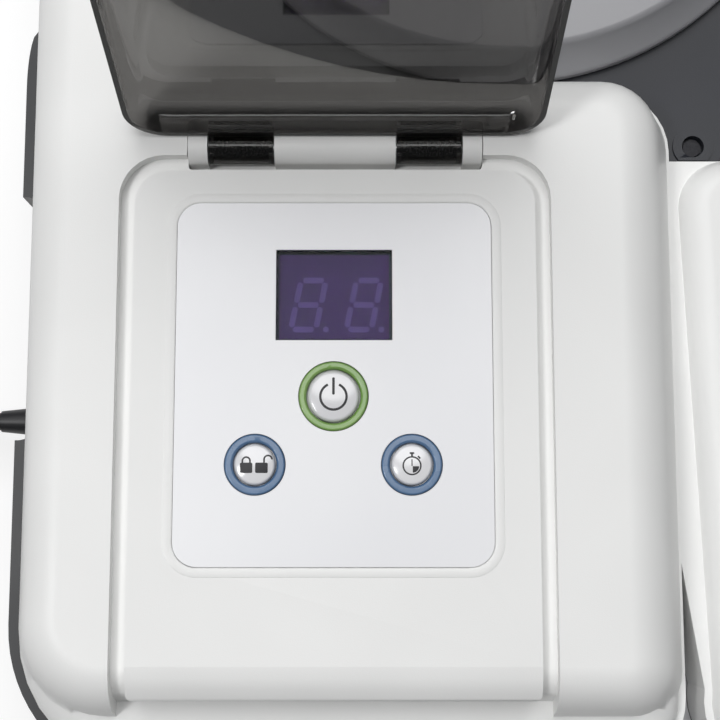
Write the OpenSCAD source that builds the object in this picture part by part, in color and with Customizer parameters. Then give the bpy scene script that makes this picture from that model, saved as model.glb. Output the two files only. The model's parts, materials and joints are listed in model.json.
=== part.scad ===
// Top-loading filament dryer: a heated round chamber under a hinged lid, with a control
// console at the front left that a sprung smoked cover closes over.
// Origin: centre of the footprint, on the surface it stands on. Front is -Y, up is +Z.

/* [Body] */
// Width of the base tray
body_w = 368; // [364:1:380]
// Depth of the base tray
body_d = 526; // [522:1:540]
// Corner radius of the base tray
body_r = 58; // [50:1:64]
// Height of the base tray's rim above the table
rim_z = 48; // [46:1:50]
// How far the black tray stands out beyond the white housing
rim_ledge = 4; // [3:0.5:6]
// Wall of the white housing
wall = 2.6; // [2:0.1:3]
// Wall and floor of the black tray
tray_wall = 3; // [2.5:0.1:4]
// Height of the low body round the chamber
low_z = 88; // [87:0.5:90]
// Height of the front apron at the right
apron_z = 96; // [94:0.5:100]
// Height of the ledge in front of the console
ledge_z = 99; // [97:0.5:101]
// Height of the console and of the left flank
console_z = 118; // [116:0.5:121]
// Outward lean of the walls, sideways per unit of height
draft = 0.17; // [0.1:0.01:0.2]
// Extra lean of the left wall, sideways per unit of height
left_lean = 0.07; // [0.05:0.01:0.09]
// Radius of the console's upper edges
top_r = 14; // [10:0.5:15]

/* [Control panel] */
// Centre of the console across the body
console_x = -61; // [-64:0.5:-58]
// Width of the island that the cover closes over
island_w = 135.6; // [130:0.1:138]
// Width of the groove that the cover's rim drops into
groove_w = 5.4; // [5:0.1:7]
// Depth of that groove
groove_d = 5; // [4:0.1:6]
// Width of the panel plate
plate_w = 105.6; // [100:0.1:108]
// Height of the panel plate, front to back
plate_h = 121.8; // [118:0.1:126]
// Corner radius of the panel plate
plate_r = 8; // [4:0.5:12]
// Thickness of the panel plate
plate_t = 1.6; // [1.2:0.1:2]
// Width of the display window
display_w = 39; // [34:0.5:44]
// Height of the display window, front to back
display_h = 30.8; // [28:0.2:34]
// Outer radius of the power button's ring
power_r = 11.6; // [10:0.1:12.5]
// Outer radius of the two small buttons' rings
small_r = 10.1; // [9:0.1:11]
// Half the distance between the two small buttons
small_pitch = 25.9; // [23:0.1:28]
// Travel of a button
press = 0.8; // [0.5:0.1:1]

/* [Cover and its hinge] */
// Height of the hinge axis
hinge_z = 113; // [112.8:0.1:113.2]
// Width of the hinge slot
slot_w = 100.8; // [96:0.2:104]
// Front to back size of the hinge slot
slot_d = 15.4; // [15.2:0.1:16]
// Radius of the fixed and moving knuckles
knuckle_r = 5.6; // [5.2:0.1:5.8]
// Radius of the steel hinge pin
pin_r = 1.5; // [1.2:0.1:1.8]
// Wall of the smoked cover
cover_wall = 1.8; // [1.6:0.1:2]
// Height of the smoked cover, rim to top
cover_h = 12; // [10:0.5:13]
// Lean of the open cover behind the upright
cover_lean = 15; // [10:1:20]

/* [Chamber and lid] */
// Inner radius of the chamber
bowl_r = 104; // [103:0.5:105]
// Wall of the chamber bowl
bowl_wall = 1.6; // [1.2:0.1:2]
// Height of the chamber floor above the table
bowl_z = 16; // [15:0.5:18]
// Outer radius of the lid at its rim
lid_r = 116.5; // [115:0.5:118]
// Height of the lid's shoulder above the table
lid_top_z = 101; // [100:0.5:104]
// Centre of the chamber, front to back
chamber_y = 108; // [107:0.5:110]
// Radius of the lid's hinge pin
lid_pin_r = 2; // [1.5:0.1:2.5]
// Radius of the turntable
table_r = 98; // [90:1:100]
// Radius of the hub that centres a spool
hub_r = 25; // [22:0.5:26]
// Radius of the turntable's spindle
spindle_r = 4; // [3.5:0.1:5]

/* [Filament outlet] */
// Outer radius of the guide tube
tube_r = 2; // [1.5:0.1:2.5]
// Height of the filament's way out
outlet_z = 56; // [54:0.5:60]

/* [Fan and heater] */
// Side of the square blower housing
blower_w = 97; // [90:1:100]
// Height of the blower housing
blower_h = 33; // [30:1:35]
// Radius of the impeller
impeller_r = 36; // [34:0.5:38]
// Number of impeller blades
blades = 24; // [16:1:30]

/* [Mains lead] */
// Diameter of the lead
cord_d = 7; // [6.6:0.1:7]

/* [Fits] */
// Radial clearance of a running fit
run_fit = 0.05; // [0.03:0.01:0.08]
// Gap between a fixed piece and its seat
seat = 0.2; // [0.1:0.05:0.3]

/* [Hidden] */
$fn = 64;
seg = 8;            // steps along each arc of a lofted outline
eps = 0.01;

white_x = body_w / 2 - rim_ledge;
white_y = body_d / 2 - rim_ledge;
white_r = body_r - rim_ledge;
pad_z = 72;         // height where the raised pads start, just inside the low body
pad_in = draft * (pad_z - rim_z) + 0.05;
deck_top = low_z - wall - seat;
deck_t = 3;
cord_z = 24;         // height of the lead where it leaves the tray
floor_z = 3 + tray_wall;      // top of the tray's floor, above the feet

// Outlines: arcs [x, y, radius, from, to, lean x, lean y], run anticlockwise. A concave
// arc runs from its larger angle to its smaller one. Lean is sideways shift per height.
low_outline = [
    [-white_x + white_r, -white_y + white_r, white_r, 180, 270, left_lean, 0],
    [white_x - white_r, -white_y + white_r, white_r, 270, 360, 0, 0],
    [white_x - white_r, white_y - white_r, white_r, 0, 90, 0, 0],
    [-white_x + white_r, white_y - white_r, white_r, 90, 180, left_lean, 0]];

pad_x = white_x - pad_in;
pad_left = -pad_x + left_lean * (pad_z - rim_z);
pad_y = white_y - pad_in;
pad_r = white_r - pad_in;
notch_y = -182;     // apex of the dark wedge between the console and the apron
ledge_r = 27.4;
apron_r = 25.4;
ledge_fr = [32, -pad_y + ledge_r];
apron_fl = [91, -pad_y + apron_r];

ledge_outline = [
    [pad_left + pad_r, -pad_y + pad_r, pad_r, 180, 270, left_lean, 0],
    [ledge_fr[0], ledge_fr[1], ledge_r, 270, 360, 0, 0],
    [32, -150, ledge_r, 0, 90, 0, 0],
    [pad_left + pad_r, -150, ledge_r, 90, 180, left_lean, 0]];

apron_back = -35.6;
apron_left = 59.6;
apron_outline = [
    [apron_fl[0], apron_fl[1], apron_r, 170, 270, 0, 0],
    [pad_x - pad_r, -pad_y + pad_r, pad_r, 270, 360, 0, 0],
    [pad_x - 21, apron_back - 21, 21, 0, 90, 0, 0],
    [apron_left + 20, apron_back - 20, 20, 90, 180, 0, 0]];

// The console and the left flank. The flank follows the chamber with two concave arcs.
console_left = pad_left + 0.05;
console_front = -241.6;
console_right = 64.4;
console_back = -9.1;
console_lean = [-0.2, 0.15];  // lean of the right wall and of the front wall
flank_end = 199.8;
hollow_r = 238.6;
hollow_c = [-2.5, console_back + hollow_r];
hollow_turn = 243;
inner_r = 28.6;
inner_c = hollow_c + (hollow_r - inner_r) * [cos(hollow_turn), sin(hollow_turn)];
flank_x = inner_c[0] - inner_r;
console_outline = [
    [console_left + 35, console_front + 35, 35, 180, 270, left_lean, console_lean[1]],
    [console_right - 20.4, console_front + 20.4, 20.4, 270, 360, console_lean[0], console_lean[1]],
    [console_right - 25.4, console_back - 25.4, 25.4, 0, 90, console_lean[0], 0],
    [hollow_c[0], hollow_c[1], hollow_r, 270, hollow_turn, 0, 0],
    [inner_c[0], inner_c[1], inner_r, hollow_turn - 8, 180, 0, 0],
    [flank_x - 20.4, flank_end - 20.4, 20.4, 0, 90, 0, -0.3],
    [console_left + 23, flank_end - 23, 23, 90, 180, left_lean, -0.3]];

// Control panel places
plate_c = [console_x - 0.2, -122.4];
display_c = [console_x - 0.2, -93];
power_c = [console_x - 0.3, -127.2];
small_y = -149.9;
lock_c = [console_x - small_pitch - 0.3, small_y];
timer_c = [console_x + small_pitch - 0.3, small_y];
island_front = -226.6;
island_r = 11;
hinge_y = -40.7;
groove_back = hinge_y - 3.9;       // the groove's outer edge behind the island
plate_top = console_z + 0.6;
plate_bed = plate_top - plate_t;
board_z = plate_bed - 12;

// Cover
cover_gap = 0.8;                   // between the island and the cover's walls
cover_low = ledge_z + 1.5;         // lower edge of the cover's front wall
cover_draft = 0.01;
cover_w = island_w + 2 * (cover_wall + cover_gap);
cover_rim_z = console_z - groove_d + 0.7;
cover_front = -246;
cover_back = hinge_y - 6.9;
knuckle_w = 22;
knuckle_x = 32.1;                  // centre of each moving knuckle from the console centre

// Chamber
bowl_out = bowl_r + bowl_wall;
lid_hinge_y = chamber_y + lid_r + 9.5;
lid_hinge_z = low_z + 9;

outlet_x = 62;
blower_c = [-52, -82];
duct_x = -42;
duct_w = 58;
duct_h = 20;
duct_z = bowl_z + 13;
blower_z = floor_z + 3;
cord_y = -126.6;
scoop = [-136, -41];               // front and back end of the scooped recess

function ring(arcs, inset, z, z0) = [
    for (a = arcs)
        let (r = a[2] + (a[4] > a[3] ? -inset : inset))
        for (i = [0:seg])
            let (t = a[3] + (a[4] - a[3]) * i / seg)
            [a[0] + r * cos(t) + a[5] * (z - z0), a[1] + r * sin(t) + a[6] * (z - z0), z]];

// Levels [inset, height] of a leaning wall with a rounded top, moved inwards by skin
function levels(z0, z1, r, skin = 0, lean = draft) = concat([[skin, z0]],
    [for (t = [0:15:90])
        [lean * (z1 - r - z0) + r - (r - skin) * cos(t), z1 - r + (r - skin) * sin(t)]]);

module loft(arcs, lv) {
    n = len(arcs) * (seg + 1);
    m = len(lv);
    polyhedron(
        points = [for (l = lv) each ring(arcs, l[0], l[1], lv[0][1])],
        faces = concat([[for (i = [0:n - 1]) i]],
            [for (k = [0:m - 2]) for (i = [0:n - 1]) let (j = (i + 1) % n)
                [k * n + i, (k + 1) * n + i, (k + 1) * n + j, k * n + j]],
            [[for (i = [n - 1:-1:0]) (m - 1) * n + i]]));
}

module rrect(w, d, r) {
    square([w - 2 * r, d], center = true);
    square([w, d - 2 * r], center = true);
    for (x = [-1, 1], y = [-1, 1]) translate([x * (w / 2 - r), y * (d / 2 - r)]) circle(r);
}

module span(x0, x1, y0, y1, r) {
    translate([(x0 + x1) / 2, (y0 + y1) / 2]) rrect(x1 - x0, y1 - y0, r);
}

module tube(r, hole, h) {
    difference() {
        cylinder(r = r, h = h);
        translate([0, 0, -eps]) cylinder(r = hole, h = h + 2 * eps);
    }
}

// ---- Base ----
screw_r = 1.5;
foot_at = [for (x = [-1, 1], y = [-1, 1]) [x * (body_w / 2 - 44), y * (body_d / 2 - 44)]];
boss_at = [for (x = [-1, 1], y = [-0.86, 0, 0.86]) [x * (body_w / 2 - 24), y * (body_d / 2 - 30)]];

module base_tray() color("#1d1f23") {
    difference() {
        translate([0, 0, 3]) linear_extrude(rim_z - 3) rrect(body_w, body_d, body_r);
        translate([0, 0, floor_z]) linear_extrude(rim_z)
            rrect(body_w - 2 * tray_wall - 6, body_d - 2 * tray_wall - 6, body_r - tray_wall - 3);
        // scooped recess in the left side, where the lead comes out
        translate([-body_w / 2 - 30 + 9, scoop[0], 9]) linear_extrude(rim_z)
            span(0, 30, 0, scoop[1] - scoop[0], 8);
        // intake slots under the blower
        for (i = [-4:4]) translate([blower_c[0] + i * 8, blower_c[1], 0])
            linear_extrude(20) rrect(4, 56, 1.9);
        for (f = foot_at) translate([f[0], f[1], 0]) cylinder(r = 8.2, h = 4.5);
        for (b = boss_at) translate([b[0], b[1], 0]) cylinder(r = screw_r + 0.4, h = 20);
        for (b = boss_at) translate([b[0], b[1], 0]) cylinder(r = 4, h = 5);
        translate([-body_w / 2, cord_y, cord_z]) rotate([0, 90, 0]) cylinder(r = 5.6, h = 40);
    }
    // posts under the deck's screws
    for (s = deck_screw_at) translate([s[0], s[1], floor_z - eps])
        tube(4.2, screw_r + 0.05, deck_top - deck_t - seat - floor_z);
    // wall behind the recess
    difference() {
        translate([-body_w / 2 + 9, scoop[0] - 3, floor_z]) cube([3, scoop[1] - scoop[0] + 6, rim_z - floor_z]);
        translate([-body_w / 2, cord_y, cord_z]) rotate([0, 90, 0]) cylinder(r = 5.6, h = 40);
    }
}

module rubber_feet() color("#2b2b2d")
    for (f = foot_at) translate([f[0], f[1], 0]) {
        cylinder(r = 8, h = 4.5 - seat);
    }

module base_screws() color("silver")
    for (b = boss_at) translate([b[0], b[1], 3.5]) {
        cylinder(r = 3.4, h = 1.5);
        cylinder(r = screw_r, h = 12);
    }

// ---- White housing ----
module island_plan(side) {
    // round at the back, nearly square where it meets the front
    x0 = console_x - island_w / 2 + side;
    x1 = console_x + island_w / 2 - side;
    span(x0, x1, island_front + side, groove_back - groove_w - side, island_r);
    span(x0, x1, island_front + side, island_front + 60, 2);
}

module island_band(side) {
    // the groove's plan: side widens it on both sides, for the wall below it
    difference() {
        span(console_x - island_w / 2 - groove_w - side, console_x + island_w / 2 + groove_w + side,
            -251 - side, groove_back + side, 15 + side);
        island_plan(side);
    }
}

module console_skin(skin, z0 = pad_z) loft(console_outline, levels(z0, console_z, top_r, skin));

module console_cavity() difference() {
    console_skin(wall, pad_z - 1);
    difference() {
        translate([0, 0, pad_z - 1]) linear_extrude(60) island_band(wall);
        console_skin(groove_d + wall);
    }
    // solid bed round the hinge slot
    translate([console_x, hinge_y + 0.1, 100]) linear_extrude(30) rrect(slot_w + 6, slot_d + 5, 2);
}

module housing_outer() {
    loft(low_outline, levels(rim_z, low_z, 12));
    loft(ledge_outline, levels(pad_z, ledge_z, 12));
    loft(apron_outline, levels(pad_z, apron_z, 10));
    difference() {
        console_skin(0);
        difference() {
            translate([0, 0, pad_z]) linear_extrude(60) island_band(0);
            console_skin(groove_d);
        }
    }
}

module housing_cavity() difference() {
    union() {
        translate([0, 0, -eps]) loft(low_outline, levels(rim_z, low_z, 12, wall));
        loft(ledge_outline, levels(pad_z - 1, ledge_z, 12, wall));
        loft(apron_outline, levels(pad_z - 1, apron_z, 10, wall));
        console_cavity();
    }
    // walls along the filament's way out; they stop above the fitting, and the insert closes the rest
    translate([0, 0, outlet_z + 5.5]) linear_extrude(60) notch(-wall);
}

module deck_span(grow) span(flank_x - 12 - grow, 144 + grow, -52 - grow, 240 + grow, 30);

// Opening over the dark deck, less the console and the flank
module deck_opening() difference() {
    span(flank_x - 6, 132, -38.2, lid_hinge_y - 8, 34);
    console_plan(0.1);
    translate([-200, -250]) square([200 + console_right - 27, 250 + console_back - 27]);
}

// The console's outline at the deck's height
module console_plan(inset) polygon(
    [for (p = ring(console_outline, draft * (deck_top - pad_z) + inset, deck_top, pad_z)) [p[0], p[1]]]);

module notch(gap) polygon(concat(
    [for (t = [270:10:360]) ledge_fr + (ledge_r + gap) * [cos(t), sin(t)]],
    [[59.3, notch_y - 6 * gap]],
    [for (t = [170:10:270]) apron_fl + (apron_r + gap) * [cos(t), sin(t)]],
    [[apron_fl[0], -280], [ledge_fr[0], -280]]));

module upper_housing() color("#eceef0") resize([2 * white_x, 0, 0]) {
    $fn = 32;
    difference() {
        housing_outer();
        housing_cavity();
        translate([0, 0, pad_z - 20]) linear_extrude(deck_top + seat - pad_z + 20) deck_span(0.4);
        translate([0, 0, deck_top]) linear_extrude(30) deck_opening();
        translate([0, 0, rim_z - 1]) linear_extrude(60) notch(0);
        translate([outlet_x, -230, outlet_z]) rotate([-90, 0, 0]) cylinder(r = tube_r + 0.3, h = 90);
        // beds of the plate and its parts
        translate([plate_c[0], plate_c[1], plate_bed - seat]) linear_extrude(20)
            rrect(plate_w + 0.6, plate_h + 0.6, plate_r + 0.3);
        translate([display_c[0], display_c[1], 90]) linear_extrude(40)
            rrect(display_w + 2, display_h + 2, 1);
        translate([power_c[0], power_c[1], 90]) cylinder(r = power_r - 2, h = 40);
        for (c = [lock_c, timer_c]) translate([c[0], c[1], 90]) cylinder(r = small_r - 2.3, h = 40);
        // slot of the hinge
        translate([console_x, hinge_y + 0.1, hinge_z - knuckle_r - 1.4]) linear_extrude(30)
            rrect(slot_w, slot_d, 1.2);
    }
    // screw bosses, each with a rib to the side wall
    for (b = boss_at) translate([b[0], b[1], 0]) difference() {
        translate([0, 0, floor_z + seat]) union() {
            cylinder(r = 4.5, h = 73);
            translate([b[0] < 0 ? -12.3 : 2, -1.2, rim_z - floor_z + 2]) cube([b[0] < 0 ? 10.3 : 12, 2.4, 29]);
        }
        translate([0, 0, floor_z]) cylinder(r = screw_r + 0.1, h = 14);
    }
    // posts that carry the control board
    for (p = post_at) translate([p[0], p[1], board_z]) {
        cylinder(r = 3, h = 11.2);
        translate([0, 0, -2.4]) cylinder(r = 1.2, h = 3);
    }
}

// ---- Deck and chamber ----
deck_screw_at = [[68.5, -32.3], [114, 205], [-112, 205], [-106, 36]];

module deck_plate() color("#26272c") difference() {
    union() {
        translate([0, 0, deck_top - deck_t]) linear_extrude(deck_t) deck_span(0);
        for (s = deck_screw_at) translate([s[0], s[1], deck_top - eps]) {
            cylinder(r = 10.6, h = 0.9);
            cylinder(r = 7.3, h = 1.8);
        }
    }
    translate([0, chamber_y, 0]) cylinder(r = bowl_out + 0.3, h = 200);
    for (s = deck_screw_at) translate([s[0], s[1], deck_top - 2]) cylinder(r = 4, h = 10);
    for (s = deck_screw_at) translate([s[0], s[1], 0]) cylinder(r = screw_r + 0.2, h = 100);
    // the front boss is trimmed where the apron and the console pass over it
    translate([50, -60, deck_top]) cube([40, 60 - 37.5, 10]);
    translate([0, 0, deck_top]) linear_extrude(10) console_plan(-0.5);
}

module deck_screws() color("silver")
    for (s = deck_screw_at) translate([s[0], s[1], deck_top - 2]) {
        cylinder(r = 3.2, h = 1.6);
        translate([0, 0, -9]) cylinder(r = screw_r, h = 9 + eps);
    }

module duct_port(grow) {
    translate([duct_x, -10, duct_z]) rotate([-90, 0, 0]) linear_extrude(60)
        rrect(duct_w + 2 * grow, duct_h + 2 * grow, 2);
}

module wall_ports(grow) {
    duct_port(grow);
    translate([outlet_x, -10, outlet_z]) rotate([-90, 0, 0]) cylinder(r = tube_r + 0.1 + grow, h = 80);
}

module chamber_bowl() color("#c9ccce") difference() {
    union() {
        translate([0, chamber_y, 0]) rotate_extrude($fn = 96) polygon([
            [0, bowl_z - 2], [bowl_out - 6, bowl_z - 2], [bowl_out, bowl_z + 4],
            [bowl_out, deck_top + seat], [bowl_r + 8, deck_top + seat], [bowl_r + 8, deck_top + seat + 1.6],
            [bowl_r, deck_top + seat + 1.6], [bowl_r, bowl_z + 4], [bowl_r - 5, bowl_z], [0, bowl_z]]);
        translate([0, chamber_y, bowl_z - 6]) cylinder(r = 12, h = 5);
    }
    translate([0, chamber_y, 0]) cylinder(r = spindle_r, h = 40);
    wall_ports(0);
    // return-air slots at the back of the wall
    for (i = [-3:3]) translate([0, chamber_y, 0]) rotate([0, 0, 90 + i * 7])
        translate([bowl_r - 6, -2, bowl_z + 10]) cube([20, 4, 24]);
}

module bowl_jacket() color("#8f8f8b") difference() {
    translate([0, chamber_y, bowl_z + 6]) tube(bowl_out + 5, bowl_out + seat, deck_top - deck_t - bowl_z - 12);
    wall_ports(1);
    for (i = [-3:3]) translate([0, chamber_y, 0]) rotate([0, 0, 90 + i * 7])
        translate([bowl_r - 6, -3, bowl_z + 9]) cube([30, 6, 26]);
}

module lid_seal() color("#d8d6cf") translate([0, chamber_y, deck_top + seat + 1.6])
    tube(bowl_r + 5.5, bowl_r + 2.5, 2);

lid_seat_z = deck_top + seat + 1.6 + 2 + seat;

module chamber_lid() color("#e6e8ea") difference() {
    union() {
        translate([0, chamber_y, 0]) rotate_extrude($fn = 96) polygon(concat(
            [[0, lid_top_z + 2], [70, lid_top_z + 1.4]],
            [for (t = [75:-15:15]) [lid_r - 11.5 + 4 * cos(t), lid_top_z - 4 + 4 * sin(t)]],
            [[lid_r - 3.2, lid_top_z - 9], [lid_r - 1, low_z + 2.5], [lid_r, low_z + 0.5],
                [lid_r, deck_top + 0.5], [lid_r - 2.6, deck_top + 0.5], [lid_r - 2.6, lid_seat_z],
                [bowl_r - 1, lid_seat_z], [bowl_r - 3, lid_top_z - 4], [0, lid_top_z - 1.5]]));
        for (x = [-24, 24]) translate([x - 4, 0, 0]) {
            translate([0, lid_hinge_y, lid_hinge_z]) rotate([0, 90, 0]) cylinder(r = 4.6, h = 8);
            translate([0, chamber_y + lid_r - 12, low_z + 3.2]) cube([8, 21.5, 4.6]);
        }
    }
    translate([-40, lid_hinge_y, lid_hinge_z]) rotate([0, 90, 0]) cylinder(r = lid_pin_r + run_fit, h = 80);
}

module lid_bracket() color("#e6e8ea") difference() {
    translate([0, lid_hinge_y, 0]) {
        translate([-36, -4.6, low_z + 0.05]) cube([72, 9.2, 2.6]);
        for (x = [[-19.4, 38.8], [-36, 7.4], [28.6, 7.4]]) translate([x[0], 0, 0]) {
            translate([0, -4.6, low_z + 1]) cube([x[1], 9.2, lid_hinge_z - low_z - 1]);
            translate([0, 0, lid_hinge_z]) rotate([0, 90, 0]) cylinder(r = 4.6, h = x[1]);
        }
    }
    translate([-40, lid_hinge_y, lid_hinge_z]) rotate([0, 90, 0]) cylinder(r = lid_pin_r + 0.02, h = 80);
    for (x = [-24, 24]) translate([x - 4.4, lid_hinge_y - 5, low_z + 2.6 - eps]) cube([8.8, 10, 20]);
}

module lid_pin() color("silver") translate([-36.5, lid_hinge_y, lid_hinge_z]) rotate([0, 90, 0])
    cylinder(r = lid_pin_r, h = 73);

// ---- Turntable ----
table_z = bowl_z + 14;

module spindle() color("silver") translate([0, chamber_y, 0]) {
    translate([0, 0, bowl_z - 6]) cylinder(r = spindle_r, h = 46);
    translate([0, 0, bowl_z]) cylinder(r = 7, h = 5);
}

module table_bearing() color("#a8abae") translate([0, chamber_y, bowl_z + 5.2])
    tube(11, spindle_r + run_fit, 7);

module turntable() color("#3a3c40") translate([0, chamber_y, 0]) difference() {
    union() {
        translate([0, 0, table_z]) cylinder(r = table_r, h = 2.4, $fn = 96);
        translate([0, 0, bowl_z + 5.4]) cylinder(r = 15, h = table_z - bowl_z - 5.4 + eps);
        translate([0, 0, table_z - 3]) tube(table_r, table_r - 2, 3 + eps);
    }
    translate([0, 0, bowl_z]) cylinder(r = 11, h = 12.2);
    cylinder(r = spindle_r + 2, h = 100);
    for (a = [0:45:315]) rotate([0, 0, a]) translate([62, 0, table_z - 1]) linear_extrude(6) rrect(44, 14, 6.5);
}

module spool_hub() color("#3a3c40") translate([0, chamber_y, table_z + 2.4]) difference() {
    union() {
        tube(hub_r, hub_r - 2.4, 38);
        translate([0, 0, 35.6]) cylinder(r = hub_r, h = 2.4);
        for (a = [0:60:300]) rotate([0, 0, a]) translate([hub_r - 1, -1.2, 0]) cube([2.4, 2.4, 34]);
        tube(9, spindle_r + 2, 36);
    }
    translate([0, 0, 10]) cylinder(r = spindle_r + run_fit, h = 40);
}

// ---- Filament outlet ----
module outlet_block() color("#1d1f23") difference() {
    translate([0, 0, floor_z + seat]) linear_extrude(62 - floor_z) intersection() {
        notch(seat + 0.1);
        translate([20, -body_d / 2 + tray_wall + 5]) square([90, 84]);
    }
    translate([outlet_x, -300, outlet_z]) rotate([-90, 0, 0]) cylinder(r = tube_r + 0.1, h = 200);
    translate([outlet_x, -300, outlet_z]) rotate([-90, 0, 0]) cylinder(r = 4.6, h = 300 - body_d / 2 + 24);
}

module outlet_fitting() color("#d5a94c") difference() {
    translate([outlet_x, -body_d / 2 + 1, outlet_z]) rotate([-90, 0, 0]) {
        cylinder(r = 4.5, h = 22.5);
        cylinder(r = 5.5, h = 6, $fn = 6);
    }
    translate([outlet_x, -300, outlet_z]) rotate([-90, 0, 0]) cylinder(r = tube_r + 0.05, h = 100);
}

module guide_tube() color("#f4f4ee") translate([outlet_x, -body_d / 2 + 24, outlet_z]) rotate([-90, 0, 0])
    tube(tube_r, 1, 264);

// ---- Control panel ----
module panel_plate() color("#dcdee4") difference() {
    translate([plate_c[0], plate_c[1], plate_bed]) linear_extrude(plate_t) rrect(plate_w, plate_h, plate_r);
    translate([display_c[0], display_c[1], 0]) linear_extrude(200) square([display_w, display_h], center = true);
    translate([power_c[0], power_c[1], 0]) cylinder(r = power_r + 0.15, h = 200);
    for (c = [lock_c, timer_c]) translate([c[0], c[1], 0]) cylinder(r = small_r + 0.15, h = 200);
}

module display_window() color("#3c2c5a", 0.8) translate([display_c[0], display_c[1], 0]) {
    translate([0, 0, console_z - 3.4]) linear_extrude(plate_top - 0.1 - console_z + 3.4)
        square([display_w - 0.4, display_h - 0.4], center = true);
    translate([0, 0, console_z - 3.4]) linear_extrude(1.4) square([display_w + 1.4, display_h + 1.4], center = true);
}

module display_module() color("#5a5668") translate([display_c[0], display_c[1], board_z])
    translate([-(display_w - 2) / 2, -(display_h - 2) / 2, 0]) cube([display_w - 2, display_h - 2, 9.2]);

board_w = 72;
board_d = 98;
board_c = [console_x, -117];
post_at = [for (x = [-1, 1], y = [-1, 1]) board_c + [x * (board_w / 2 - 4), y * (board_d / 2 - 4)]];

module control_board() color("#1f6b3a") difference() {
    translate([board_c[0], board_c[1], board_z - 1.6]) linear_extrude(1.6) rrect(board_w, board_d, 2);
    for (p = post_at) translate([p[0], p[1], 0]) cylinder(r = 1.3, h = 200);
}

module tact_switches() color("#202020") for (c = [power_c, lock_c, timer_c]) translate([c[0], c[1], board_z]) {
    translate([-3, -3, 0]) cube([6, 6, 3.4]);
    cylinder(r = 1.7, h = 5.2);
}

// Domed cap with a collar that holds it under the panel and a stem over its switch
module button_cap(r) {
    dome = 0.9;
    big = (r * r + dome * dome) / (2 * dome);
    top = plate_top + 0.2;
    intersection() {
        translate([0, 0, top + dome - big]) sphere(r = big, $fn = 128);
        translate([0, 0, console_z - 4]) cylinder(r = r, h = 20);
    }
    translate([0, 0, console_z - 4]) cylinder(r = r + 1.6, h = 1);
    translate([0, 0, board_z + 5.4 + press]) cylinder(r = 2.2, h = console_z - 4 - board_z - 5.4 - press + eps);
}

module button_ring(r, inner) translate([0, 0, plate_bed]) rotate_extrude()
    polygon([[inner, 0], [r, 0], [r, 1.5], [r - 0.7, 2.2], [inner + 0.9, 2.2], [inner, 1.4]]);

power_in = power_r - 2.6;
small_in = small_r - 2.9;

module power_button() color("#f2f3f4") translate([power_c[0], power_c[1], 0]) button_cap(power_in - 0.4);
module power_ring() color("#7ac13a") translate([power_c[0], power_c[1], 0]) button_ring(power_r, power_in);
module lock_button() color("#f2f3f4") translate([lock_c[0], lock_c[1], 0]) button_cap(small_in - 0.4);
module lock_ring() color("#2f6f9f") translate([lock_c[0], lock_c[1], 0]) button_ring(small_r, small_in);
module timer_button() color("#f2f3f4") translate([timer_c[0], timer_c[1], 0]) button_cap(small_in - 0.4);
module timer_ring() color("#2f6f9f") translate([timer_c[0], timer_c[1], 0]) button_ring(small_r, small_in);

// ---- Cover and its hinge ----
module along_hinge(x0, x1, r) translate([console_x + x0, hinge_y, hinge_z]) rotate([0, 90, 0])
    cylinder(r = r, h = x1 - x0);

fixed_in = knuckle_x - knuckle_w / 2 - 0.4;
fixed_out = knuckle_x + knuckle_w / 2 + 0.4;
slot_floor = hinge_z - knuckle_r - 1.4;

module hinge_mount() color("#f0f1f3") difference() {
    union() {
        translate([console_x, hinge_y + 0.1, slot_floor + 0.1]) linear_extrude(1)
            rrect(slot_w - 0.4, slot_d - 0.4, 1);
        for (s = [[-fixed_in, fixed_in], [fixed_out, slot_w / 2 - 0.3], [-slot_w / 2 + 0.3, -fixed_out]]) {
            along_hinge(s[0], s[1], knuckle_r + 0.3);
            translate([console_x + s[0], hinge_y - knuckle_r - 0.3, slot_floor + 0.1])
                cube([s[1] - s[0], 2 * knuckle_r + 0.6, hinge_z - slot_floor]);
        }
    }
    along_hinge(-60, 60, pin_r + 0.02);
}

module hinge_pin() color("silver") along_hinge(-slot_w / 2 + 1, slot_w / 2 - 1, pin_r);

cover_r = island_r + cover_gap + cover_wall;
cover_outline = [
    [console_x - cover_w / 2 + cover_r, cover_front + cover_r, cover_r, 180, 270, 0, 0],
    [console_x + cover_w / 2 - cover_r, cover_front + cover_r, cover_r, 270, 360, 0, 0],
    [console_x + cover_w / 2 - cover_r, cover_back - cover_r, cover_r, 0, 90, 0, 0],
    [console_x - cover_w / 2 + cover_r, cover_back - cover_r, cover_r, 90, 180, 0, 0]];

module cover_closed() difference() {
    $fn = 32;
    cover_top = cover_rim_z + cover_h;
    union() {
        difference() {
            loft(cover_outline, levels(cover_low, cover_top, 9, 0, cover_draft));
            translate([0, 0, -eps]) loft(cover_outline, levels(cover_low, cover_top, 7.4, cover_wall, cover_draft));
            // the rim follows the groove and drops over the console's front step
            translate([-200, 0, 0]) rotate([90, 0, 90]) linear_extrude(400) polygon([
                [-260, cover_low - 1], [-260, cover_low], [-233, cover_low], [-229, 104.5], [-226.5, 109.8],
                [-222.5, 113], [-217, cover_rim_z], [0, cover_rim_z], [0, cover_low - 1]]);
        }
        for (s = [-1, 1]) {
            along_hinge(s * knuckle_x - knuckle_w / 2, s * knuckle_x + knuckle_w / 2, knuckle_r);
            translate([console_x + s * knuckle_x - knuckle_w / 2, cover_back - cover_wall / 2, hinge_z + 1])
                cube([knuckle_w, 6, 5]);
        }
    }
    for (s = [-1, 1]) along_hinge(s * knuckle_x - knuckle_w / 2 + 1.6, s * knuckle_x + knuckle_w / 2 - 1.6, 4.3);
    along_hinge(-60, 60, pin_r + run_fit);
}

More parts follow.
